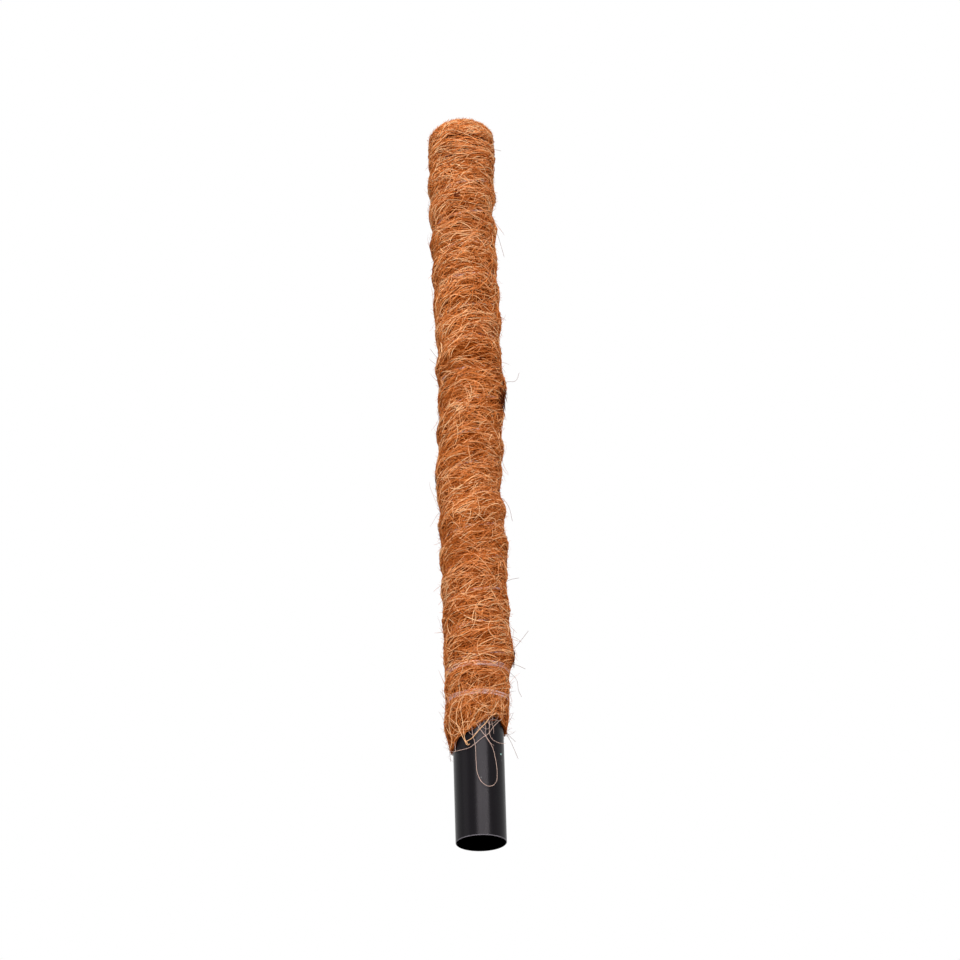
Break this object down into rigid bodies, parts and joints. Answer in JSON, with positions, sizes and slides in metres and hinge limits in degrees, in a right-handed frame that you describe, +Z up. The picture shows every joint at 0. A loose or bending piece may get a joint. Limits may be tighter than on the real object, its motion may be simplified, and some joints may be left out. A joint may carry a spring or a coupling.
{
  "type": "moss pole",
  "caption": "Upright coir pole for climbing plants: a plastic tube wrapped in coir fibre, closed by a domed coir cap and bound with thread, with a bare open end that goes into the soil.",
  "frame": {"origin": "centre of the tube's open lower end, which the pole stands on", "axes": "+Z up along the tube, towards the coir cap; -Y is the side that the picture shows; +X to its right"},
  "size_m": [0.0348, 0.0348, 0.4],
  "materials": {
    "tube_plastic": "satin",
    "coir": "matte",
    "thread": "satin"
  },
  "bodies": {
    "root": {"core_tube": "tube_plastic", "coir_sleeve": "coir", "coir_top_cap": "coir", "binding_thread": "thread"}
  },
  "joints": []
}
